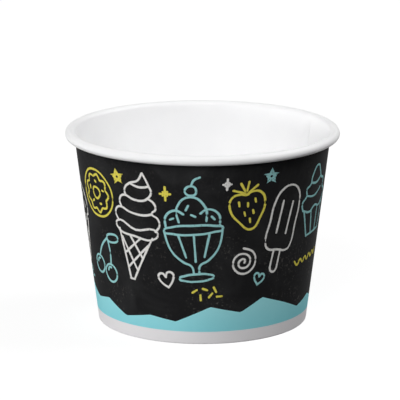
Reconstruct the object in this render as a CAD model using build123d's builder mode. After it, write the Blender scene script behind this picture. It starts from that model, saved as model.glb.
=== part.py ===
from build123d import *
import os
from math import asin, atan2, ceil, cos, degrees, hypot, tan

# Paper dessert cup: a printed blank rolled into a cone, and a paper bottom disc crimped into its foot.
# The origin is on the table at the cup's axis, +Z is up and the printed front faces -Y.

# Driving dimensions, in millimetres and degrees
rim_diameter = 95.0  # over the rolled rim
base_diameter = 72.6  # outside, where the line of the wall meets the table
cup_height = 67.4  # table to the top of the rolled rim
board = 0.40  # paperboard of the side wall
floor_board = 0.40  # paperboard of the bottom disc
roll_radius = 1.75  # outer radius of the first half turn of the roll
roll_gap = 0.12  # left between the wall and the tucked end of the roll
tuck_turn = 165.0  # turn of the second, tighter half of the roll
hem_depth = 6.0  # height of the folded-in foot above the table
hem_to_bend = 0.8  # from the top of the hem to the bend of the floor
floor_bend = 1.2  # outer radius of the bend between the floor and its skirt
seal_film = 0.02  # molten coating between two sealed faces
lap_width = 7.0  # overlap of the side seam
lap_ramp = 4.0  # run over which the upper layer climbs onto the lower one
lap_into_roll = 0.5  # how far the upper layer runs up behind the roll
lap_trace = 0.05  # what is left of the lower layer's edge where it ends
lap_fade = 4.0  # from there to the top of the rim, where the rolling tool pressed it flat
seam_azimuth = 20.0  # where the side seam stands, from +X towards +Y
flat_turn = 55.0  # the most that one flat of a round bend turns

# The wall's outside line starts at the foot and is tangent to the inside of the roll
rim_radius = rim_diameter / 2
base_radius = base_diameter / 2
roll_centre = (rim_radius - roll_radius, cup_height - roll_radius)
foot_to_roll = hypot(roll_centre[0] - base_radius, roll_centre[1])
lean = atan2(roll_centre[0] - base_radius, roll_centre[1]) - asin((roll_radius - board) / foot_to_roll)
lean_turn = degrees(lean)


def across(thickness):
    # horizontal width of a leaning sheet
    return thickness / cos(lean)


def wall_outside(z):
    return base_radius + z * tan(lean)


def wall_inside(z):
    return wall_outside(z) - across(board)


def skirt_outside(z):
    return wall_inside(z) - across(seal_film)


def skirt_inside(z):
    return skirt_outside(z) - across(floor_board)


def hem_outside(z):
    return skirt_inside(z) - across(seal_film)


def hem_inside(z):
    return hem_outside(z) - across(board)


def bend(centre, radius, start, turn):
    # corners of a round bend, drawn as equal flats
    arc = CenterArc(centre, radius, start, turn, mode=Mode.PRIVATE)
    flats = ceil(abs(turn) / flat_turn)
    return [arc @ (i / flats) for i in range(flats + 1)]


def seam_plane(z):
    return Plane.XY.offset(z).rotated((0, 0, seam_azimuth))


def beside_seam(radius, run):
    # a point on the seam's plane, that far round from the cut edge of the upper layer
    return Vector(radius, 0).rotate(Axis.Z, degrees(run / radius))


def upper_layer(z):
    # section of the upper layer: level over the lower one, then a ramp down into the wall
    crest = wall_outside(z) + across(board)
    root = wall_outside(z) - across(board) / 2
    with BuildSketch(seam_plane(z)) as section:
        with BuildLine():
            level = CenterArc((0, 0), crest, 0, degrees(lap_width / crest))
            buried = CenterArc((0, 0), root, 0, degrees((lap_width + lap_ramp) / root))
            Line(level @ 0, buried @ 0)
            Line(level @ 1, buried @ 1)
        make_face()
    return section.sketch


def inner_step(z, depth):
    # section of the hollow beside the cut edge of the lower layer, closed again by the ramp
    with BuildSketch(seam_plane(z)) as section:
        with BuildLine():
            Polyline(
                beside_seam(wall_inside(z) - board, lap_width),
                beside_seam(wall_inside(z) + depth, lap_width),
                beside_seam(wall_inside(z), lap_width + lap_ramp),
                close=True,
            )
        make_face()
    return section.sketch


# The second half of the roll is tighter, so that its end tucks in beside the wall
tuck_radius = (rim_radius - wall_outside(roll_centre[1]) - roll_gap) / 2
tuck_centre = (rim_radius - tuck_radius, roll_centre[1])
lap_top = tuck_centre[1] - tuck_radius + lap_into_roll
bend_z = hem_depth + hem_to_bend
floor_z = bend_z + floor_bend

# Side wall: one sheet, hemmed round the skirt of the floor, run up the cone and rolled outwards at the rim
with BuildPart() as side_wall:
    with BuildSketch(Plane.XZ):
        with BuildLine():
            white_roll = bend(roll_centre, roll_radius, 180 - lean_turn, lean_turn - 180)
            white_tuck = bend(tuck_centre, tuck_radius, 0, -tuck_turn)
            printed_tuck = bend(tuck_centre, tuck_radius - board, -tuck_turn, tuck_turn)
            printed_roll = bend(roll_centre, roll_radius - board, 0, 180 - lean_turn)
            Polyline(
                # the white face: inside the fold of the foot, up the inside and over the roll
                (hem_outside(hem_depth), hem_depth),
                (hem_outside(board), board),
                (wall_inside(board), board),
                *white_roll,
                *white_tuck[1:],
                # the printed face: back round the roll, down the outside and under the foot
                *printed_tuck,
                *printed_roll[1:],
                (wall_outside(board), board),
                (wall_inside(board), 0),
                (hem_outside(board), 0),
                (hem_inside(board), board),
                (hem_inside(hem_depth), hem_depth),
                close=True,
            )
        make_face()
    revolve(axis=Axis.Z)
    # the lap of the side seam: a second layer outside, and the lower layer's edge inside
    loft([upper_layer(board), upper_layer(lap_top)], ruled=True)
    loft(
        [inner_step(bend_z, across(board)), inner_step(cup_height - lap_fade, lap_trace)],
        ruled=True,
        mode=Mode.SUBTRACT,
    )

# Bottom disc: a floor with a drawn skirt, sealed between the wall and its hem
with BuildPart() as bottom_disc:
    with BuildSketch(Plane.XZ):
        with BuildLine():
            skirt_foot = board + seal_film
            bend_centre = (skirt_outside(bend_z) - across(floor_bend), bend_z)
            Polyline(
                (0, floor_z),
                *bend(bend_centre, floor_bend, 90, -90 - lean_turn),
                (skirt_outside(skirt_foot), skirt_foot),
                (skirt_inside(skirt_foot), skirt_foot),
                *bend(bend_centre, floor_bend - floor_board, -lean_turn, 90 + lean_turn),
                (0, floor_z - floor_board),
                close=True,
            )
        make_face()
    revolve(axis=Axis.Z)

os.makedirs("parts", exist_ok=True)
side_wall.part.label = "side_wall"
export_step(side_wall.part, "parts/side_wall.step")
bottom_disc.part.label = "bottom_disc"
export_step(bottom_disc.part, "parts/bottom_disc.step")
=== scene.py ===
import math
import random

import bpy
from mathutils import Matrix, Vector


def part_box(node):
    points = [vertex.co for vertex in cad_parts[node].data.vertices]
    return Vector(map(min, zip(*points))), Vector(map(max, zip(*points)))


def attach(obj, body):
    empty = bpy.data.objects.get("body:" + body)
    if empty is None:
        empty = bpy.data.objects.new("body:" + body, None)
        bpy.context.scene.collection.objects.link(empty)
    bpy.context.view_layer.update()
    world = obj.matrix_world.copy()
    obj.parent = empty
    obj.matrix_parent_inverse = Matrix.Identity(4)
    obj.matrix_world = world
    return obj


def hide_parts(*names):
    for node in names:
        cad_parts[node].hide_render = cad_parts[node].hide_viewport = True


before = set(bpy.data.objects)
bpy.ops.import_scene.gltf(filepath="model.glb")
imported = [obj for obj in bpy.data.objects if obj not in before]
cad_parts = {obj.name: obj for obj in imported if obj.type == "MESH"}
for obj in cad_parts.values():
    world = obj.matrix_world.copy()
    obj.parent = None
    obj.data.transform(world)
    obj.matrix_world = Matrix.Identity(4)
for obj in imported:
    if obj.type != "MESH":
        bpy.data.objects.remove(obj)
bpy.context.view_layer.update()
wallLow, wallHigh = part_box("side_wall")
mm = 0.001  # the script's sizes are in millimetres, Blender's in metres
mergeDistance = 0.002  # points closer than this become one
slack = 0.01  # for comparing places
mixShare, mixFirst, mixSecond = 0, 6, 7  # inputs of a Mix node that mixes colours
mixed = 2  # and its output
print("frame loaded:", sorted(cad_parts))


# Small helpers

def clearSelection():
    if bpy.context.object and bpy.context.object.mode != "OBJECT":
        bpy.ops.object.mode_set(mode="OBJECT")
    bpy.ops.object.select_all(action="DESELECT")


def selectVertices(piece, wanted):
    # wanted is asked about each vertex, and the piece is left in edit mode with those selected
    bpy.ops.object.mode_set(mode="OBJECT")
    for part in (piece.data.polygons, piece.data.edges, piece.data.vertices):
        for item in part:
            item.select = False
    for vert in piece.data.vertices:
        vert.select = wanted(vert)
    bpy.ops.object.mode_set(mode="EDIT")
    bpy.ops.mesh.select_mode(type="VERT")


def closeUp(piece, angle):
    # merges doubles, turns every face outwards and keeps the folds sharper than the angle crisp
    bpy.ops.object.mode_set(mode="EDIT")
    bpy.ops.mesh.select_all(action="SELECT")
    bpy.ops.mesh.remove_doubles(threshold=mergeDistance * mm)
    bpy.ops.mesh.normals_make_consistent(inside=False)
    bpy.ops.object.mode_set(mode="OBJECT")
    clearSelection()
    piece.select_set(True)
    bpy.context.view_layer.objects.active = piece
    bpy.ops.object.shade_smooth_by_angle(angle=math.radians(angle))


def azimuthOf(vert):
    return math.degrees(math.atan2(vert.co.y, vert.co.x))


def polar(radius, azimuth, z):
    turned = math.radians(azimuth)
    return (radius * math.cos(turned) * mm, radius * math.sin(turned) * mm, z * mm)


def arc(centre, radius, start, turn, steps):
    # points round a bend of the section, as (radius, height)
    angles = [math.radians(start + turn * i / steps) for i in range(steps + 1)]
    return [(centre[0] + radius * math.cos(a), centre[1] + radius * math.sin(a)) for a in angles]


def linear(hexColour):
    # an sRGB hex value as the linear colour that the shader takes
    values = [int(hexColour[i:i + 2], 16) / 255 for i in (1, 3, 5)]
    return tuple(v / 12.92 if v <= 0.04045 else ((v + 0.055) / 1.055) ** 2.4 for v in values) + (1,)


def addNode(tree, kind, links, **settings):
    # a node with its settings; a link is another node's socket or a plain value
    made = tree.nodes.new(kind)
    for name, value in settings.items():
        setattr(made, name, value)
    for socket, source in links.items():
        if isinstance(source, bpy.types.NodeSocket):
            tree.links.new(source, made.inputs[socket])
        else:
            made.inputs[socket].default_value = source
    return made


def newMaterial(name):
    made = bpy.data.materials.new(name)
    made.use_nodes = True
    made.node_tree.nodes.clear()
    return made, made.node_tree


# The board of the cup: the lines that its sheets follow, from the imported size

cup = {
    "rimRadius": min(-wallLow.x, wallHigh.x, -wallLow.y, wallHigh.y) / mm,
    "height": wallHigh.z / mm,
    "baseRadius": 36.3,  # outside, where the line of the wall meets the table
    "board": 0.40,
    "sealFilm": 0.02,  # molten coating between two sealed faces
    "rollRadius": 1.75,  # of the first half turn of the roll
    "rollGap": 0.12,  # between the wall and the tucked end of the roll
    "tuckTurn": 165,  # degrees of its second, tighter half
    "hemDepth": 6.0,  # height of the folded-in foot
    "bendHeight": 6.8,  # where the skirt of the floor starts to bend
}
board = cup["board"]
rollCentre = (cup["rimRadius"] - cup["rollRadius"], cup["height"] - cup["rollRadius"])
footToRoll = math.hypot(rollCentre[0] - cup["baseRadius"], rollCentre[1])
lean = math.atan2(rollCentre[0] - cup["baseRadius"], rollCentre[1])
lean -= math.asin((cup["rollRadius"] - board) / footToRoll)
leanTurn = math.degrees(lean)


def wallOutside(z):
    return cup["baseRadius"] + z * math.tan(lean)


def layersIn(z, boards, films):
    # radius at that height after going in through so many boards and films
    return wallOutside(z) - (boards * board + films * cup["sealFilm"]) / math.cos(lean)


# White coated paperboard: pressed pulp under a thin clear film, so it is bright and satin, with a faint
# cloudiness of the fibres and a skin that is never quite flat

whiteBoard = {
    "colour": "#FAFAFA",
    "cloudColour": "#F6F6F7",
    "cloudSize": 7.0,  # patches of thicker and thinner pulp
    "cloudDetail": 3.0,
    "fibreSize": 0.9,  # real fibres are a tenth of this, too fine to show
    "fibreDetail": 4.0,
    "fibreDepth": 0.012,
    "fibreStrength": 0.6,
    "roughness": (0.42, 0.54),  # from one kind of patch to the other
    "ior": 1.5,
    "sheen": 0.35,
}


def makeWhiteBoard():
    made, tree = newMaterial("polyCoatedPaperboard")
    where = addNode(tree, "ShaderNodeTexCoord", {})
    cloud = addNode(tree, "ShaderNodeTexNoise", {
        "Vector": where.outputs["Object"],
        "Scale": 1 / (whiteBoard["cloudSize"] * mm),
        "Detail": whiteBoard["cloudDetail"]})
    colour = addNode(tree, "ShaderNodeMix", {
        mixShare: cloud.outputs[0],
        mixFirst: linear(whiteBoard["colour"]),
        mixSecond: linear(whiteBoard["cloudColour"])}, data_type="RGBA")
    fibre = addNode(tree, "ShaderNodeTexNoise", {
        "Vector": where.outputs["Object"],
        "Scale": 1 / (whiteBoard["fibreSize"] * mm),
        "Detail": whiteBoard["fibreDetail"]})
    bump = addNode(tree, "ShaderNodeBump", {
        "Height": fibre.outputs[0],
        "Distance": whiteBoard["fibreDepth"] * mm,
        "Strength": whiteBoard["fibreStrength"]})
    smoothest, roughest = whiteBoard["roughness"]
    satin = addNode(tree, "ShaderNodeMapRange", {
        "Value": cloud.outputs[0], "To Min": smoothest, "To Max": roughest})
    shader = addNode(tree, "ShaderNodeBsdfPrincipled", {
        "Base Color": colour.outputs[mixed],
        "Roughness": satin.outputs[0],
        "Normal": bump.outputs[0],
        "IOR": whiteBoard["ior"],
        "Specular IOR Level": whiteBoard["sheen"]})
    addNode(tree, "ShaderNodeOutputMaterial", {"Surface": shader.outputs[0]})
    return made


# Offset-printed paperboard: a near-black solid with a matt varnish, rubbed with chalk dust, over a pale
# blue band with a torn-looking edge, and a bare white strip at the foot

printedBoard = {
    "charcoal": "#202021",
    "dustColour": "#5A5B5C",
    "grainColour": "#6E6B66",
    "band": "#A2E9F0",
    "bandShade": "#8FDFE9",
    "bare": "#F3F1F3",
    "bareTop": 4.5,  # height of the unprinted strip
    "edgeScale": 20.0,  # height that the top of the edge curve stands for
    "bandFade": (5.0, 13.0),  # heights between which the blue goes from deep to pale
    "bandCloud": (0.3, 0.7),  # noise over which the deep blue is patchy
    "bandLeast": 0.55,  # share of it where it is thinnest
    "smudgeSize": 16.0,
    "smudgeDetail": 5.0,
    "smudgeRoughness": 0.6,
    "smudgeDistortion": 0.8,
    "smudgeRange": (0.46, 0.78),  # noise over which a smudge comes up
    "smudgeMost": 0.16,  # share of dust at the middle of one
    "grainSize": 0.95,  # crumbs of chalk, which gather in patches
    "grainDetail": 2.0,
    "grainRoughness": 0.7,
    "grainRange": (0.57, 0.76),  # noise over which a crumb comes up
    "patchSize": 11.0,
    "patchDetail": 2.0,
    "patchRange": (0.44, 0.66),  # noise over which a patch fills with crumbs
    "dustTop": (14.0, 46.0),  # heights between which the crumbs thin out
    "dustLeft": 0.15,  # share of them that is left above
    "fibreSize": 1.1,  # real fibres are a tenth of this, too fine to show
    "fibreDetail": 4.0,
    "fibreDepth": 0.008,
    "fibreStrength": 0.6,
    "roughness": (0.52, 0.68),  # from clean varnish to smudged
    "ior": 1.5,
    "sheen": 0.012,
    # the band's upper edge: degrees round from the front, and height
    "edge": [
        (-180, 9.0), (-166, 14.0), (-152, 11.0), (-140, 12.5), (-127, 7.5), (-113, 10.0), (-101, 9.0),
        (-86, 14.5), (-70, 10.5), (-58, 12.0), (-44, 7.5), (-28, 9.5), (-14, 8.0), (4, 13.5), (20, 11.0),
        (32, 15.5), (47, 12.0), (60, 8.5), (74, 11.0), (88, 7.5), (101, 12.5), (118, 10.0), (131, 15.0),
        (146, 11.5), (160, 13.0), (171, 8.0), (180, 9.0)],
}


def makePrintedBoard():
    made, tree = newMaterial("offsetPrintedPaperboard")
    where = addNode(tree, "ShaderNodeTexCoord", {})
    place = addNode(tree, "ShaderNodeSeparateXYZ", {0: where.outputs["Object"]})
    # how far round from the front, as a share of the whole turn
    backwards = addNode(tree, "ShaderNodeMath", {0: place.outputs["Y"], 1: -1.0}, operation="MULTIPLY")
    turn = addNode(tree, "ShaderNodeMath", {
        0: place.outputs["X"], 1: backwards.outputs[0]}, operation="ARCTAN2")
    share = addNode(tree, "ShaderNodeMapRange", {
        "Value": turn.outputs[0], "From Min": -math.pi, "From Max": math.pi})
    # the curve starts with two points, which become its ends at the back of the cup
    edge = addNode(tree, "ShaderNodeFloatCurve", {"Value": share.outputs[0]})
    points = edge.mapping.curves[0].points
    for degrees, height in printedBoard["edge"]:
        x, y = (degrees + 180) / 360, height / printedBoard["edgeScale"]
        if degrees in (-180, 180):
            point = points[0 if degrees < 0 else len(points) - 1]
            point.location = (x, y)
        else:
            point = points.new(x, y)
        point.handle_type = "VECTOR"
    edge.mapping.update()
    edgeHeight = addNode(tree, "ShaderNodeMath", {
        0: edge.outputs[0], 1: printedBoard["edgeScale"] * mm}, operation="MULTIPLY")
    onField = addNode(tree, "ShaderNodeMath", {
        0: place.outputs["Z"], 1: edgeHeight.outputs[0]}, operation="GREATER_THAN")
    onBare = addNode(tree, "ShaderNodeMath", {
        0: place.outputs["Z"], 1: printedBoard["bareTop"] * mm}, operation="LESS_THAN")
    # chalk dust: soft smudges, and crumbs that are left here and there, more of them lower down
    smudge = addNode(tree, "ShaderNodeTexNoise", {
        "Vector": where.outputs["Object"],
        "Scale": 1 / (printedBoard["smudgeSize"] * mm),
        "Detail": printedBoard["smudgeDetail"],
        "Roughness": printedBoard["smudgeRoughness"],
        "Distortion": printedBoard["smudgeDistortion"]})
    faintest, fullest = printedBoard["smudgeRange"]
    smudged = addNode(tree, "ShaderNodeMapRange", {
        "Value": smudge.outputs[0], "From Min": faintest, "From Max": fullest,
        "To Max": printedBoard["smudgeMost"]})
    grain = addNode(tree, "ShaderNodeTexNoise", {
        "Vector": where.outputs["Object"],
        "Scale": 1 / (printedBoard["grainSize"] * mm),
        "Detail": printedBoard["grainDetail"],
        "Roughness": printedBoard["grainRoughness"]})
    faintest, fullest = printedBoard["grainRange"]
    crumbs = addNode(tree, "ShaderNodeMapRange", {
        "Value": grain.outputs[0], "From Min": faintest, "From Max": fullest})
    patch = addNode(tree, "ShaderNodeTexNoise", {
        "Vector": where.outputs["Object"],
        "Scale": 1 / (printedBoard["patchSize"] * mm),
        "Detail": printedBoard["patchDetail"]})
    faintest, fullest = printedBoard["patchRange"]
    gathered = addNode(tree, "ShaderNodeMapRange", {
        "Value": patch.outputs[0], "From Min": faintest, "From Max": fullest})
    dustLow, dustHigh = printedBoard["dustTop"]
    settled = addNode(tree, "ShaderNodeMapRange", {
        "Value": place.outputs["Z"], "From Min": dustLow * mm, "From Max": dustHigh * mm,
        "To Min": 1.0, "To Max": printedBoard["dustLeft"]})
    lying = addNode(tree, "ShaderNodeMath", {
        0: gathered.outputs[0], 1: settled.outputs[0]}, operation="MULTIPLY")
    specks = addNode(tree, "ShaderNodeMath", {
        0: crumbs.outputs[0], 1: lying.outputs[0]}, operation="MULTIPLY")
    rubbed = addNode(tree, "ShaderNodeMix", {
        mixShare: smudged.outputs[0],
        mixFirst: linear(printedBoard["charcoal"]),
        mixSecond: linear(printedBoard["dustColour"])}, data_type="RGBA")
    field = addNode(tree, "ShaderNodeMix", {
        mixShare: specks.outputs[0],
        mixFirst: rubbed.outputs[mixed],
        mixSecond: linear(printedBoard["grainColour"])}, data_type="RGBA")
    # the band is deeper towards the foot, and a little patchy
    fadeLow, fadeHigh = printedBoard["bandFade"]
    fade = addNode(tree, "ShaderNodeMapRange", {
        "Value": place.outputs["Z"], "From Min": fadeLow * mm, "From Max": fadeHigh * mm,
        "To Min": 1.0, "To Max": 0.0})
    thinnest, thickest = printedBoard["bandCloud"]
    cloudy = addNode(tree, "ShaderNodeMapRange", {
        "Value": smudge.outputs[0], "From Min": thinnest, "From Max": thickest,
        "To Min": printedBoard["bandLeast"], "To Max": 1.0})
    faded = addNode(tree, "ShaderNodeMath", {
        0: fade.outputs[0], 1: cloudy.outputs[0]}, operation="MULTIPLY")
    band = addNode(tree, "ShaderNodeMix", {
        mixShare: faded.outputs[0],
        mixFirst: linear(printedBoard["band"]),
        mixSecond: linear(printedBoard["bandShade"])}, data_type="RGBA")
    printed = addNode(tree, "ShaderNodeMix", {
        mixShare: onField.outputs[0],
        mixFirst: band.outputs[mixed],
        mixSecond: field.outputs[mixed]}, data_type="RGBA")
    colour = addNode(tree, "ShaderNodeMix", {
        mixShare: onBare.outputs[0],
        mixFirst: printed.outputs[mixed],
        mixSecond: linear(printedBoard["bare"])}, data_type="RGBA")
    fibre = addNode(tree, "ShaderNodeTexNoise", {
        "Vector": where.outputs["Object"],
        "Scale": 1 / (printedBoard["fibreSize"] * mm),
        "Detail": printedBoard["fibreDetail"]})
    bump = addNode(tree, "ShaderNodeBump", {
        "Height": fibre.outputs[0],
        "Distance": printedBoard["fibreDepth"] * mm,
        "Strength": printedBoard["fibreStrength"]})
    smoothest, roughest = printedBoard["roughness"]
    satin = addNode(tree, "ShaderNodeMapRange", {
        "Value": smudge.outputs[0], "To Min": smoothest, "To Max": roughest})
    shader = addNode(tree, "ShaderNodeBsdfPrincipled", {
        "Base Color": colour.outputs[mixed],
        "Roughness": satin.outputs[0],
        "Normal": bump.outputs[0],
        "IOR": printedBoard["ior"],
        "Specular IOR Level": printedBoard["sheen"]})
    addNode(tree, "ShaderNodeOutputMaterial", {"Surface": shader.outputs[0]})
    return made


# Chalk-textured ink: a flat opaque colour, broken by the tooth of the drawing that was printed

chalkInk = {
    "gapColour": "#2A2A2C",
    "toothSize": 0.55,
    "toothDetail": 3.0,
    "toothRoughness": 0.65,
    "toothRange": (0.58, 0.72),  # noise over which the black comes to show through
    "toothMost": 0.75,  # share of black where it shows most
    "roughness": 0.7,
    "ior": 1.5,
    "sheen": 0.03,
}


def makeChalkInk(name, hexColour):
    made, tree = newMaterial(name)
    where = addNode(tree, "ShaderNodeTexCoord", {})
    tooth = addNode(tree, "ShaderNodeTexNoise", {
        "Vector": where.outputs["Object"],
        "Scale": 1 / (chalkInk["toothSize"] * mm),
        "Detail": chalkInk["toothDetail"],
        "Roughness": chalkInk["toothRoughness"]})
    faintest, fullest = chalkInk["toothRange"]
    worn = addNode(tree, "ShaderNodeMapRange", {
        "Value": tooth.outputs[0], "From Min": faintest, "From Max": fullest,
        "To Max": chalkInk["toothMost"]})
    colour = addNode(tree, "ShaderNodeMix", {
        mixShare: worn.outputs[0],
        mixFirst: linear(hexColour),
        mixSecond: linear(chalkInk["gapColour"])}, data_type="RGBA")
    shader = addNode(tree, "ShaderNodeBsdfPrincipled", {
        "Base Color": colour.outputs[mixed],
        "Roughness": chalkInk["roughness"],
        "IOR": chalkInk["ior"],
        "Specular IOR Level": chalkInk["sheen"]})
    addNode(tree, "ShaderNodeOutputMaterial", {"Surface": shader.outputs[0]})
    return made


whitePaperboard = makeWhiteBoard()
printedPaperboard = makePrintedBoard()
print("materials of the board made")


# Cup wall: one sheet, hemmed at the foot, run up the cone and rolled outwards at the rim, with a lap seam

wall = {
    "seamAzimuth": 20.0,  # cut edge of the upper layer, from +X towards +Y
    "lapTurn": 9.9,  # degrees round that the two layers overlap
    "rampTurn": 5.7,  # degrees round for the upper layer to come down
    "cutTurn": 0.12,  # degrees taken by a cut edge
    "turnSteps": 288,  # round the single layer
    "lapSteps": 8,  # round the overlap
    "lapTrace": 0.05,  # what is left of the lower layer's edge at the rim
    "lapIntoRoll": 0.5,  # how far the upper layer runs up behind the roll
    "rows": [6.8, 12.0, 24.0, 36.0, 48.0, 58.0, 63.4],  # heights that the wall's faces are divided at
    "footRows": (2.6, 0.9),  # and the outside below them
    "hemRows": (0.9, 1.5, 5.2, 5.6),  # and the hem, which is crimped between the middle two
    "knurlDepth": 0.09,
    "rollSteps": (18, 12),  # flats round the roll, on its white and its printed side
    "tuckSteps": (14, 10),  # and round its tucked end
    "foldSteps": 6,  # and round each corner of the foot
    "foldAngle": 38,  # folds sharper than this stay crisp
    "printFacing": 0.5,  # the least share of a printed face's normal that points away from the axis
}
tuckRadius = (cup["rimRadius"] - wallOutside(rollCentre[1]) - cup["rollGap"]) / 2
tuckCentre = (cup["rimRadius"] - tuckRadius, rollCentre[1])
lapTop = tuckCentre[1] - tuckRadius + wall["lapIntoRoll"]


def wallSection(raised, recessed):
    # the loop round the sheet; raised lifts its outside by one board, recessed hollows its inside
    def inside(z):
        low, high = wall["rows"][0], wall["rows"][-1]
        depth = board + (wall["lapTrace"] - board) * (z - low) / (high - low)
        return layersIn(z, 1, 0) + (depth if recessed else 0)

    def outside(z):
        return wallOutside(z) + (board / math.cos(lean) if raised else 0)

    whiteRoll, printedRoll = wall["rollSteps"]
    whiteTuck, printedTuck = wall["tuckSteps"]
    fold, hemFold = (layersIn(board, 1, 0), board), (layersIn(board, 2, 2), board)
    loop = [(layersIn(z, 2, 2), z) for z in (cup["hemDepth"], board)]
    loop += [fold]
    loop += [(inside(z), z) for z in wall["rows"]]
    loop += arc(rollCentre, cup["rollRadius"], 180 - leanTurn, leanTurn - 180, whiteRoll)
    loop += arc(tuckCentre, tuckRadius, 0, -cup["tuckTurn"], whiteTuck)[1:]
    loop += arc(tuckCentre, tuckRadius - board, -cup["tuckTurn"], cup["tuckTurn"], printedTuck)
    loop += arc(rollCentre, cup["rollRadius"] - board, 0, 180 - leanTurn, printedRoll)[1:]
    loop += [(outside(z), z) for z in (lapTop, *reversed(wall["rows"]), *wall["footRows"])]
    loop += arc(fold, board, -leanTurn, leanTurn - 90, wall["foldSteps"])
    loop += arc(hemFold, board, -90, -90 - leanTurn, wall["foldSteps"])
    loop += [(layersIn(z, 3, 2), z) for z in (*wall["hemRows"], cup["hemDepth"])]
    return loop


def addSection(name, section, azimuth):
    # a ring of vertices, laid out as the section and stood up at that azimuth
    clearSelection()
    bpy.ops.mesh.primitive_circle_add(
        vertices=len(section), radius=cup["baseRadius"] * mm, fill_type="NOTHING")
    piece = bpy.context.object
    piece.name = piece.data.name = name
    for vert, (radius, z) in zip(piece.data.vertices, section):
        vert.co = polar(radius, azimuth, z)
    return piece


lapStart = wall["seamAzimuth"]
lapEnd = lapStart + wall["lapTurn"]
rampStart = lapEnd + wall["cutTurn"]
rampEnd = lapEnd + wall["rampTurn"]
plain = addSection("cup_wall", wallSection(False, False), rampEnd)
upper = addSection("upperLayer", wallSection(True, False), lapStart)
ramp = addSection("rampStart", wallSection(True, True), rampStart)
loopSize = len(plain.data.vertices)
clearSelection()
for piece in (upper, ramp, plain):
    piece.select_set(True)
bpy.context.view_layer.objects.active = plain
bpy.ops.object.join()
cupWall = plain


def loopAt(azimuth):
    # first vertex of the section that stands at that azimuth
    firsts = range(0, len(cupWall.data.vertices), loopSize)
    return min(firsts, key=lambda first: abs(azimuthOf(cupWall.data.vertices[first]) - azimuth))


def spinLoop(first, turn, steps):
    # spins one section round the axis and gives the first vertex of the last ring
    selectVertices(cupWall, lambda vert: first <= vert.index < first + loopSize)
    bpy.ops.mesh.spin(steps=steps, angle=math.radians(turn), center=(0, 0, 0), axis=(0, 0, -1))
    bpy.ops.object.mode_set(mode="OBJECT")
    return len(cupWall.data.vertices) - loopSize


def bridge(first, second):
    rings = (range(first, first + loopSize), range(second, second + loopSize))
    selectVertices(cupWall, lambda vert: vert.index in rings[0] or vert.index in rings[1])
    bpy.ops.mesh.bridge_edge_loops()


plainLoop, upperLoop, rampLoop = loopAt(rampEnd), loopAt(lapStart), loopAt(rampStart)
plainTurn = 360 + lapStart - wall["cutTurn"] - rampEnd  # the single layer, from the ramp round to the cut
lastPlain = spinLoop(plainLoop, plainTurn, wall["turnSteps"])
lastUpper = spinLoop(upperLoop, wall["lapTurn"], wall["lapSteps"])
bridge(lastPlain, upperLoop)
bridge(lastUpper, rampLoop)
bridge(rampLoop, plainLoop)
closeUp(cupWall, wall["foldAngle"])
print("cup wall spun:", len(cupWall.data.polygons), "faces")

# the crimping tool's ribs: every other column of the hem is pressed outwards
knurlPitch = plainTurn / wall["turnSteps"]
lowRow, highRow = wall["hemRows"][1:3]


def onKnurl(vert):
    radius = math.hypot(vert.co.x, vert.co.y) / mm
    z = vert.co.z / mm
    if not lowRow - slack < z < highRow + slack or radius > layersIn(z, 3, 2) + slack:
        return False
    azimuth = azimuthOf(vert) - rampEnd
    return round((azimuth % 360) / knurlPitch) % 2 == 1


selectVertices(cupWall, onKnurl)
pressed = 1 + wall["knurlDepth"] / layersIn(lowRow, 3, 2)
bpy.ops.transform.resize(value=(pressed, pressed, 1), center_override=(0, 0, 0))
bpy.ops.object.mode_set(mode="OBJECT")

wallBoards = [whitePaperboard, printedPaperboard]
for material in wallBoards:
    cupWall.data.materials.append(material)
for face in cupWall.data.polygons:
    radius = math.hypot(face.center.x, face.center.y) / mm
    z = face.center.z / mm
    facing = (face.normal.x * face.center.x + face.normal.y * face.center.y) / mm / radius
    # the outside lies between the middle of the board and the upper layer of the lap
    onOutside = layersIn(z, 0.5, 0) < radius < wallOutside(z) + 2 * board
    # the cut edge at the seam faces sideways and stays bare
    if facing > wall["printFacing"] and z < lapTop + board and onOutside:
        face.material_index = wallBoards.index(printedPaperboard)
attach(cupWall, "root")
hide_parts("side_wall")
print("cup wall finished")


# Cup floor: a disc of board whose edge is drawn down into a skirt, sealed between the wall and its hem

floor = {
    "bendRadius": 1.2,
    "bendSteps": 9,
    "rings": [6.0, 14.0, 22.0, 28.0, 32.0],  # radii that the disc is divided at
    "sag": 0.10,  # the disc dips a little towards the middle
    "steps": 192,
    "foldAngle": 38,  # folds sharper than this stay crisp
}
bendCentre = (layersIn(cup["bendHeight"], 1, 1) - floor["bendRadius"] / math.cos(lean), cup["bendHeight"])
floorTop = cup["bendHeight"] + floor["bendRadius"]
skirtFoot = board + cup["sealFilm"]


def discHeight(radius):
    return -floor["sag"] * (1 - (radius / bendCentre[0]) ** 2)


floorSection = [(r, floorTop + discHeight(r)) for r in (0.0, *floor["rings"])]
floorSection += arc(bendCentre, floor["bendRadius"], 90, -90 - leanTurn, floor["bendSteps"])
floorSection += [(layersIn(skirtFoot, 1, 1), skirtFoot), (layersIn(skirtFoot, 2, 1), skirtFoot)]
floorSection += arc(
    bendCentre, floor["bendRadius"] - board, -leanTurn, 90 + leanTurn, floor["bendSteps"])
floorSection += [(r, floorTop - board + discHeight(r)) for r in (*reversed(floor["rings"]), 0.0)]
cupFloor = addSection("cup_floor", floorSection, 0)
lastPoint = len(floorSection) - 1
selectVertices(cupFloor, lambda vert: vert.index in (0, lastPoint))
bpy.ops.mesh.delete(type="EDGE_FACE")  # the edge on the axis itself
bpy.ops.mesh.select_all(action="SELECT")
bpy.ops.mesh.spin(steps=floor["steps"], angle=2 * math.pi, center=(0, 0, 0), axis=(0, 0, 1))
closeUp(cupFloor, floor["foldAngle"])
cupFloor.data.materials.append(whitePaperboard)
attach(cupFloor, "root")
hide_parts("bottom_disc")
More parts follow.
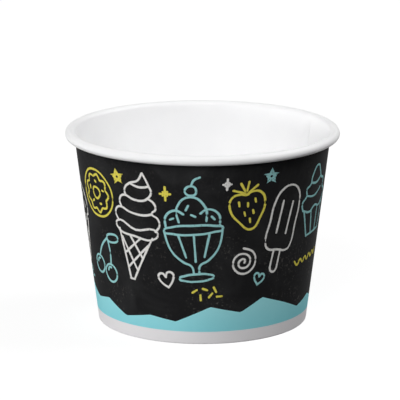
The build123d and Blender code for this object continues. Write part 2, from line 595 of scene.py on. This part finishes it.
print("cup floor spun:", len(cupFloor.data.polygons), "faces")


# Chalk drawings: each motif is drawn flat in millimetres about its own middle

def soft(*points, closed=False):
    return {"points": points, "handle": "AUTO", "closed": closed}


def firm(*points, closed=False):
    return {"points": points, "handle": "VECTOR", "closed": closed}


def oval(u, v, across, up):
    angles = [math.pi * i / 4 for i in range(8)]
    return soft(*((u + across * math.cos(a), v + up * math.sin(a)) for a in angles), closed=True)


def dash(u, v, length, angle):
    du, dv = length / 2 * math.cos(math.radians(angle)), length / 2 * math.sin(math.radians(angle))
    return firm((u - du, v - dv), (u + du, v + dv))


def bothSides(*strokes):
    other = [dict(stroke, points=[(-u, v) for u, v in stroke["points"]]) for stroke in strokes]
    return list(strokes) + other


def swirlCone():
    return bothSides(
        firm((5.4, -1.6), (0.7, -15.2)),
        firm((4.4, -3.9), (-1.3, -11.8)),
        firm((1.8, -2.5), (-2.7, -7.9)),
    ) + [
        firm((-0.7, -15.2), (0.7, -15.2)),
        soft((-6.4, -1.3), (0, -2.3), (6.4, -1.3), (6.6, 0.5), (0, -0.4), (-6.6, 0.5), closed=True),
        soft((-6.2, 0.9), (-7.3, 2.8), (-6.1, 4.8), (-2.0, 4.3), (2.4, 4.7), (4.6, 5.6)),
        soft((6.2, 0.9), (7.2, 2.8), (6.4, 4.7), (4.6, 5.6), (5.4, 7.2), (4.8, 8.9), (3.1, 9.8)),
        soft((-5.2, 5.0), (-5.9, 6.8), (-4.7, 8.8), (-1.2, 8.4), (1.8, 9.0), (3.1, 9.8)),
        soft((-4.0, 9.0), (-4.4, 10.8), (-3.0, 12.6), (-0.6, 14.2), (0.5, 16.6)),
        soft((3.1, 9.8), (3.7, 11.6), (2.8, 13.6), (1.8, 14.8), (0.5, 16.6)),
        soft((-2.6, 12.6), (0.2, 12.4), (2.8, 13.4)),
    ]


def scoopCone():
    return bothSides(
        firm((6.0, -1.9), (0.2, -16.0)),
        firm((4.6, -4.9), (-1.5, -11.7)),
        firm((2.0, -2.8), (-3.1, -7.7)),
    ) + [
        soft((-7.0, -0.2), (-5.4, -1.9), (-3.4, -0.4), (-1.2, -2.4),
             (1.2, -0.6), (3.6, -2.4), (5.4, -0.6), (7.0, -0.2)),
        soft((-7.0, -0.2), (-7.3, 3.8), (-4.6, 8.0), (0, 9.6), (4.6, 8.0), (7.3, 3.8), (7.0, -0.2)),
        soft((-4.7, 3.6), (-3.7, 5.5), (-2.0, 6.7)),
        dash(1.8, 5.6, 1.8, 40), dash(3.6, 2.6, 1.8, -60),
        dash(0.2, 2.6, 1.8, 80), dash(-2.4, 1.6, 1.8, 20),
    ]


def iceLolly():
    return bothSides(
        firm((2.0, 7.8), (2.0, -2.2)),
        firm((1.3, -7.4), (1.3, -13.2)),
    ) + [
        soft((-1.3, -13.2), (-0.9, -14.1), (0, -14.4), (0.9, -14.1), (1.3, -13.2)),
        soft((-5.2, -5.6), (-5.3, 1.0), (-5.2, 7.0), (-3.6, 11.2), (0, 12.8), (3.6, 11.2),
             (5.2, 7.0), (5.3, 1.0), (5.2, -5.6), (4.0, -7.2), (0, -7.4), (-4.0, -7.2), closed=True),
    ]


def sundae():
    return bothSides(
        soft((9.2, 3.8), (7.6, -2.6), (4.0, -6.6), (1.2, -8.2), (1.0, -10.8)),
        firm((4.8, 1.8), (3.0, -5.2)),
    ) + [
        oval(0, 3.8, 9.2, 1.5),
        oval(0, -12.0, 5.6, 1.2),
        firm((0, 1.6), (0, -6.6)),
        soft((-8.4, 5.2), (-8.2, 8.4), (-5.0, 10.4), (-2.6, 9.2)),
        soft((8.4, 5.2), (8.2, 8.4), (5.0, 10.4), (2.6, 9.2)),
        soft((-4.2, 6.6), (-4.4, 11.0), (0, 14.6), (4.4, 11.0), (4.2, 6.6)),
        oval(0.3, 16.6, 1.7, 1.6),
        soft((0.5, 18.2), (1.4, 20.0), (3.2, 20.8)),
        dash(-1.4, 11.2, 1.6, 60), dash(0.4, 8.4, 1.4, -30),
        dash(-6.4, 7.6, 1.0, 15), dash(6.4, 7.4, 1.2, -50),
    ]


def cherryPair():
    return [
        oval(-3.6, -4.2, 3.1, 3.0), oval(3.4, -5.2, 3.1, 3.0),
        soft((-3.4, -1.4), (-1.6, 2.8), (1.8, 6.6)), soft((3.4, -2.2), (3.4, 2.2), (1.8, 6.6)),
        soft((1.8, 6.6), (4.2, 8.6), (7.4, 7.8), (5.0, 5.8), closed=True),
        soft((-5.2, -3.6), (-4.5, -2.6), (-3.6, -2.3)), soft((1.8, -4.6), (2.5, -3.6), (3.4, -3.3)),
    ]


def doughnut():
    rounds = [2 * math.pi * i / 36 for i in range(36)]
    waves = [(5.7 + 0.5 * math.cos(9 * a), a) for a in rounds]
    icing = soft(*((r * math.cos(a), r * math.sin(a)) for r, a in waves), closed=True)
    spots = [(3.7 * math.cos(a), 3.7 * math.sin(a)) for a in rounds[2::7]]
    crumbs = [dash(u, v, 0.6, 137 * i) for i, (u, v) in enumerate(spots)]
    return [oval(0, 0, 7.9, 7.5), oval(0, 0.1, 1.9, 1.8), icing] + crumbs


def strawberry():
    spots = ((-2.6, 1.2), (0, 0.4), (2.6, 1.2), (-1.4, -2.2), (1.4, -2.2), (0, -4.8))
    seeds = [dash(u, v, 1.1, 90) for u, v in spots]
    return seeds + [
        soft((0, -7.8), (-3.4, -4.6), (-5.7, 0.2), (-4.6, 3.6), (-1.8, 4.3),
             (0, 3.6), (1.8, 4.3), (4.6, 3.6), (5.7, 0.2), (3.4, -4.6), closed=True),
        firm((-3.6, 6.0), (0, 3.9), (-1.1, 7.6)), firm((1.3, 7.6), (0, 3.9), (3.8, 5.8)),
    ]


def fairyCake():
    return bothSides(
        firm((6.8, -1.9), (4.8, -10.2)), firm((2.3, -2.8), (1.7, -9.6)),
    ) + [
        firm((-4.8, -10.2), (4.8, -10.2)),
        soft((-7.6, -1.2), (-3.8, -2.6), (0, -1.6), (3.8, -2.6), (7.6, -1.2)),
        soft((-7.6, -1.2), (-8.2, 1.2), (-6.0, 3.0), (-6.2, 5.2), (-3.8, 6.4), (-3.2, 8.6), (0.4, 11.6),
             (2.4, 8.8), (3.6, 6.6), (6.2, 5.4), (6.0, 3.0), (8.2, 1.2), (7.6, -1.2)),
        soft((-5.6, 3.0), (-1.0, 2.0), (3.6, 3.4)), soft((-3.2, 6.6), (0, 5.8), (2.6, 6.9)),
    ]


def spoon():
    return bothSides(soft((0.9, 5.4), (0.7, -2.0), (1.3, -12.0))) + [
        oval(0, 9.0, 2.7, 3.9), soft((-1.3, -12.0), (0, -13.0), (1.3, -12.0))]


def star():
    tips = [math.radians(90 + 144 * i) for i in range(5)]
    return [firm(*((3.6 * math.cos(a), 3.6 * math.sin(a)) for a in tips), closed=True)]


def heart():
    return bothSides(soft((0, 1.2), (1.3, 3.0), (3.3, 2.2), (3.0, -0.4), (0, -3.6)))


def sparkle():
    return [dash(0, 0, 5.2, 90), dash(0, 0, 3.8, 0), dash(0, 0, 2.0, 45), dash(0, 0, 2.0, 135)]


def curl():
    rounds = [math.radians(45 * i) for i in range(19)]
    return [soft(*(((0.5 + 0.28 * a) * math.cos(a), (0.5 + 0.28 * a) * math.sin(a)) for a in rounds))]


def ripple():
    return [soft(*((2.1 * i - 10.5, 0.9 * (-1) ** i) for i in range(11)))]


def sprinkles():
    spots = ((-6.0, 1.8), (-3.2, -1.6), (-0.6, 2.4), (2.0, -0.8), (4.4, 2.0), (6.4, -1.8))
    return [dash(u, v, 2.4, 25 + 67 * i) for i, (u, v) in enumerate(spots)]


chalk = {
    "width": 0.88,
    "proud": 0.035,  # the ink stands this far off the board, so that it shows
    "sheetRadius": 41.0,  # radius that the flat drawing is measured on
    "wobble": 0.12,  # unsteadiness of the hand
    "pressure": 0.14,  # how much the width of a stroke varies
    "seed": 7,  # the same hand each run
    "pointSteps": 5,  # divisions of a stroke from one of its points to the next
    "runStep": 1.5,  # and the most that a straight run goes without a point
    "bevelSteps": 1,  # roundness of its section
    "foldAngle": 60,  # folds sharper than this stay crisp
    "tips": (0.92, 0.6),  # how far out a stroke's round ends are drawn, as shares of half its width
    "inks": {"white": "#E8E7E4", "yellow": "#E6DA5C", "blue": "#9CD3D4"},
}

# what is drawn, degrees round from the front, height, tilt, size and ink
drawings = [
    (scoopCone, -83, 39.0, 6, 1.05, "white"), (sprinkles, -84, 18.0, 0, 0.7, "blue"),
    (doughnut, -58, 49.5, 0, 1.10, "yellow"), (cherryPair, -57, 27.5, -6, 1.05, "blue"),
    (star, -41.5, 57.4, 10, 0.75, "yellow"), (swirlCone, -33, 40.0, -9, 1.22, "white"),
    (sundae, -4, 37.0, 4, 1.08, "blue"), (sparkle, -17, 53.5, 0, 0.9, "yellow"),
    (heart, -18, 23.0, 12, 0.8, "white"), (sprinkles, 2, 18.2, 4, 0.7, "yellow"),
    (sparkle, 11, 57.0, 0, 0.7, "white"), (strawberry, 21, 49.0, 10, 1.10, "yellow"),
    (curl, 20, 29.0, 0, 1.15, "white"), (heart, 29, 22.5, -14, 0.6, "blue"),
    (iceLolly, 41, 40.0, -11, 1.12, "white"), (star, 32, 58.6, 0, 0.75, "blue"),
    (fairyCake, 66.5, 45.5, 5, 1.12, "blue"), (ripple, 65, 25.5, 4, 0.85, "yellow"),
    (spoon, 91, 40.0, 12, 1.10, "white"), (heart, 101, 54.0, -10, 0.8, "yellow"),
    (sparkle, 101.5, 33.0, 0, 1.0, "blue"),
    (sundae, 141, 38.0, -4, 1.00, "white"), (star, 131.5, 22.5, 8, 0.85, "yellow"),
    (doughnut, 166.5, 49.0, 0, 0.95, "blue"), (cherryPair, 166, 28.0, 6, 1.00, "yellow"),
    (heart, -177.5, 21.5, 0, 0.8, "white"), (swirlCone, -170, 40.0, 8, 1.10, "white"),
    (curl, -157, 20.5, 0, 0.7, "blue"), (iceLolly, -147.5, 40.0, -8, 1.05, "yellow"),
    (sparkle, -137, 55.0, 0, 1.0, "white"), (fairyCake, -125, 37.0, 0, 1.00, "blue"),
    (strawberry, -103.5, 49.0, -8, 1.00, "white"), (ripple, -104, 29.0, -4, 0.75, "yellow"),
]


def divided(points, closed):
    # more points along straight runs, so that they follow the round of the wall
    ends = points[1:] + points[:1] if closed else points[1:]
    filled = []
    for (x0, z0), (x1, z1) in zip(points, ends):
        parts = math.ceil(math.hypot(x1 - x0, z1 - z0) / chalk["runStep"])
        filled += [(x0 + (x1 - x0) * i / parts, z0 + (z1 - z0) * i / parts) for i in range(parts)]
    return filled if closed else filled + points[-1:]


def placeStroke(stroke, turn, height, tilt, size):
    # the stroke's points on the flat sheet: x runs round the cup from the front, z is the height
    c, s = math.cos(math.radians(tilt)) * size, math.sin(math.radians(tilt)) * size
    middle = math.radians(turn) * chalk["sheetRadius"]
    placed = []
    for u, v in stroke["points"]:
        u += random.uniform(-chalk["wobble"], chalk["wobble"])
        v += random.uniform(-chalk["wobble"], chalk["wobble"])
        placed.append((middle + c * u - s * v, height + s * u + c * v))
    if stroke["handle"] == "VECTOR":
        placed = divided(placed, stroke["closed"])
    return dict(stroke, points=placed)


def carryOn(points, radii):
    # carries a stroke on past its first end, narrowing as a half circle does
    (x0, z0), (x1, z1) = points[:2]
    reach = chalk["width"] / 2 * radii[0] / math.hypot(x1 - x0, z1 - z0)
    tips = [(x0 + (x0 - x1) * reach * out, z0 + (z0 - z1) * reach * out) for out in chalk["tips"]]
    narrowed = [radii[0] * math.sqrt(1 - out ** 2) for out in chalk["tips"]]
    return tips + points, narrowed + radii


def roundEnds(points, radii):
    # one end, then the other with the stroke turned round
    points, radii = carryOn(points, radii)
    points, radii = carryOn(points[::-1], radii[::-1])
    return points[::-1], radii[::-1]


def drawInk(ink, strokes):
    # the strokes as round-ended cords on a flat sheet, pressed flat and wrapped round the wall
    clearSelection()
    bpy.ops.curve.primitive_bezier_curve_add()
    lines = bpy.context.object
    lines.data.splines.clear()
    lines.data.dimensions = "3D"
    lines.data.bevel_depth = chalk["width"] / 2 * mm
    lines.data.bevel_resolution = chalk["bevelSteps"]
    lines.data.resolution_u = chalk["pointSteps"]
    lines.data.use_fill_caps = True
    lines.data.twist_mode = "Z_UP"
    for stroke in strokes:
        points = stroke["points"]
        radii = [1 + random.uniform(-chalk["pressure"], chalk["pressure"]) for point in points]
        if not stroke["closed"]:
            points, radii = roundEnds(points, radii)
        spline = lines.data.splines.new("BEZIER")
        spline.bezier_points.add(len(points) - 1)
        spline.use_cyclic_u = stroke["closed"]
        for point, (x, z), radius in zip(spline.bezier_points, points, radii):
            point.co = (x * mm, 0, z * mm)
            point.radius = radius
            point.handle_left_type = point.handle_right_type = stroke["handle"]
    bpy.ops.object.convert(target="MESH")
    piece = bpy.context.object
    piece.name = piece.data.name = "chalk_" + ink
    flat = chalk["proud"] / (chalk["width"] / 2)
    bpy.ops.transform.resize(value=(1, flat, 1), center_override=(0, 0, 0))
    bpy.ops.object.transform_apply(location=True, rotation=True, scale=True)
    for vert in piece.data.vertices:
        turn = vert.co.x / mm / chalk["sheetRadius"]
        radius = wallOutside(vert.co.z / mm) * mm - vert.co.y
        vert.co = (radius * math.sin(turn), -radius * math.cos(turn), vert.co.z)
    closeUp(piece, chalk["foldAngle"])
    piece.data.materials.clear()
    piece.data.materials.append(makeChalkInk("chalkInk" + ink.capitalize(), chalk["inks"][ink]))
    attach(piece, "root")
    print("drawn in", ink, "ink:", len(strokes), "strokes,", len(piece.data.polygons), "faces")


random.seed(chalk["seed"])
for ink in chalk["inks"]:
    inkStrokes = []
    for motif, turn, height, tilt, size, motifInk in drawings:
        if motifInk == ink:
            inkStrokes += [placeStroke(stroke, turn, height, tilt, size) for stroke in motif()]
    drawInk(ink, inkStrokes)


# Floor, light and camera

stage = {
    "size": 6.0,  # metres
    "colour": "#5C5C5C",  # as the cup is lit by it, dim enough for little light on the foot from below
    "shadeShare": 0.22,  # how much of what the camera sees of the floor is lit by the lamps
    "glow": 0.88,  # and the rest, which makes the lit floor white
    "white": "#FFFFFF",
    "ambient": 0.04,
    "backdrop": 1.0,
    "lampDistance": 2.0,  # metres from each soft box to the cup
    "aimHeight": 0.03,  # metres above the floor that they point at
    "bounces": 12,  # light goes on from wall to wall inside the white cup
}


def seenDirectly(tree):
    # 1 for what the camera sees, also by way of gloss or glass
    path = addNode(tree, "ShaderNodeLightPath", {})
    mirrored = addNode(tree, "ShaderNodeMath", {
        0: path.outputs["Is Camera Ray"], 1: path.outputs["Is Glossy Ray"]}, operation="MAXIMUM")
    return addNode(tree, "ShaderNodeMath", {
        0: mirrored.outputs[0], 1: path.outputs["Is Transmission Ray"]}, operation="MAXIMUM").outputs[0]


clearSelection()
bpy.ops.mesh.primitive_plane_add(size=stage["size"], location=(0, 0, 0))
table = bpy.context.object
table.name = "studio_floor"
tableMaterial, tree = newMaterial("whiteSweepPaper")
plainFloor = addNode(tree, "ShaderNodeBsdfDiffuse", {"Color": linear(stage["colour"])})
shade = stage["shadeShare"]
shadedFloor = addNode(tree, "ShaderNodeBsdfDiffuse", {"Color": (shade, shade, shade, 1)})
white = linear(stage["white"])
glow = addNode(tree, "ShaderNodeEmission", {"Color": white, "Strength": stage["glow"]})
seenFloor = addNode(tree, "ShaderNodeAddShader", {0: shadedFloor.outputs[0], 1: glow.outputs[0]})
choice = addNode(tree, "ShaderNodeMixShader", {
    0: seenDirectly(tree), 1: plainFloor.outputs[0], 2: seenFloor.outputs[0]})
addNode(tree, "ShaderNodeOutputMaterial", {"Surface": choice.outputs[0]})
table.data.materials.append(tableMaterial)

world = bpy.data.worlds.new("studio")
bpy.context.scene.world = world
world.use_nodes = True
tree = world.node_tree
tree.nodes.clear()
ambient = addNode(tree, "ShaderNodeBackground", {"Color": white, "Strength": stage["ambient"]})
backdrop = addNode(tree, "ShaderNodeBackground", {"Color": white, "Strength": stage["backdrop"]})
choice = addNode(tree, "ShaderNodeMixShader", {
    0: seenDirectly(tree), 1: ambient.outputs[0], 2: backdrop.outputs[0]})
addNode(tree, "ShaderNodeOutputWorld", {"Surface": choice.outputs[0]})

# soft boxes round the cup: degrees round from the front, degrees up, watts, and size in metres
lamps = {
    "leftWing": {"round": -57, "up": 8, "watts": 3.6, "size": (1.2, 1.2)},
    "leftLow": {"round": -75, "up": 3, "watts": 9.3, "size": (1.4, 0.3)},
    "leftBack": {"round": -116, "up": 5, "watts": 4.6, "size": (1.4, 0.3)},
    "frontLeft": {"round": -22, "up": 32, "watts": 27.1, "size": (1.2, 1.2)},
    "right": {"round": 100, "up": 46, "watts": 23.2, "size": (1.2, 1.2)},
}
for name, lamp in lamps.items():
    turn, up = math.radians(lamp["round"]), math.radians(lamp["up"])
    reach = stage["lampDistance"] * math.cos(up)
    height = stage["lampDistance"] * math.sin(up) + stage["aimHeight"]
    clearSelection()
    bpy.ops.object.light_add(
        type="AREA", location=(reach * math.sin(turn), -reach * math.cos(turn), height),
        rotation=(math.pi / 2 - up, 0, turn))
    light = bpy.context.object
    light.name = name
    light.data.shape = "ELLIPSE"
    light.data.size, light.data.size_y = lamp["size"]
    light.data.energy = lamp["watts"]

photo = {
    "lens": 249.4,  # millimetres
    "sensor": 36.0,
    "place": (-0.00086, -0.9361, 0.2698),  # metres
    "pitch": 0.2393,  # radians below level
}
clearSelection()
bpy.ops.object.camera_add(location=photo["place"], rotation=(math.pi / 2 - photo["pitch"], 0, 0))
camera = bpy.context.object
camera.data.sensor_fit = "HORIZONTAL"
camera.data.sensor_width = photo["sensor"]
camera.data.lens = photo["lens"]
bpy.context.scene.camera = camera
bpy.context.scene.view_settings.view_transform = "Standard"
bpy.context.scene.cycles.diffuse_bounces = stage["bounces"]
print("stage, lamps and camera set")
